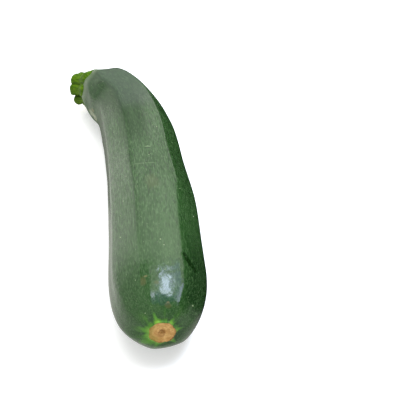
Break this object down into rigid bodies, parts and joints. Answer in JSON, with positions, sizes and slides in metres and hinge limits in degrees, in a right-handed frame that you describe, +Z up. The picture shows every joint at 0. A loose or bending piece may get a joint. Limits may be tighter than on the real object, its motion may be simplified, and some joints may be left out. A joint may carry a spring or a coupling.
{
  "type": "courgette",
  "caption": "Whole courgette lying on its side: ridged dark green fruit bent at the neck, tan blossom scar, ribbed cut stalk.",
  "frame": {"origin": "on the ground under the middle of the bounding box", "axes": "+Y from the blossom end to the stalk end, the longest extent; +Z up from the ground it lies on"},
  "size_m": [0.0837, 0.2072, 0.0475],
  "materials": {
    "skin": "waxy green skin with a soft sheen",
    "stalk": "fresh green ribs, dry beige cut"
  },
  "bodies": {
    "root": {"fruit": "skin", "stalk": "stalk"}
  },
  "joints": []
}
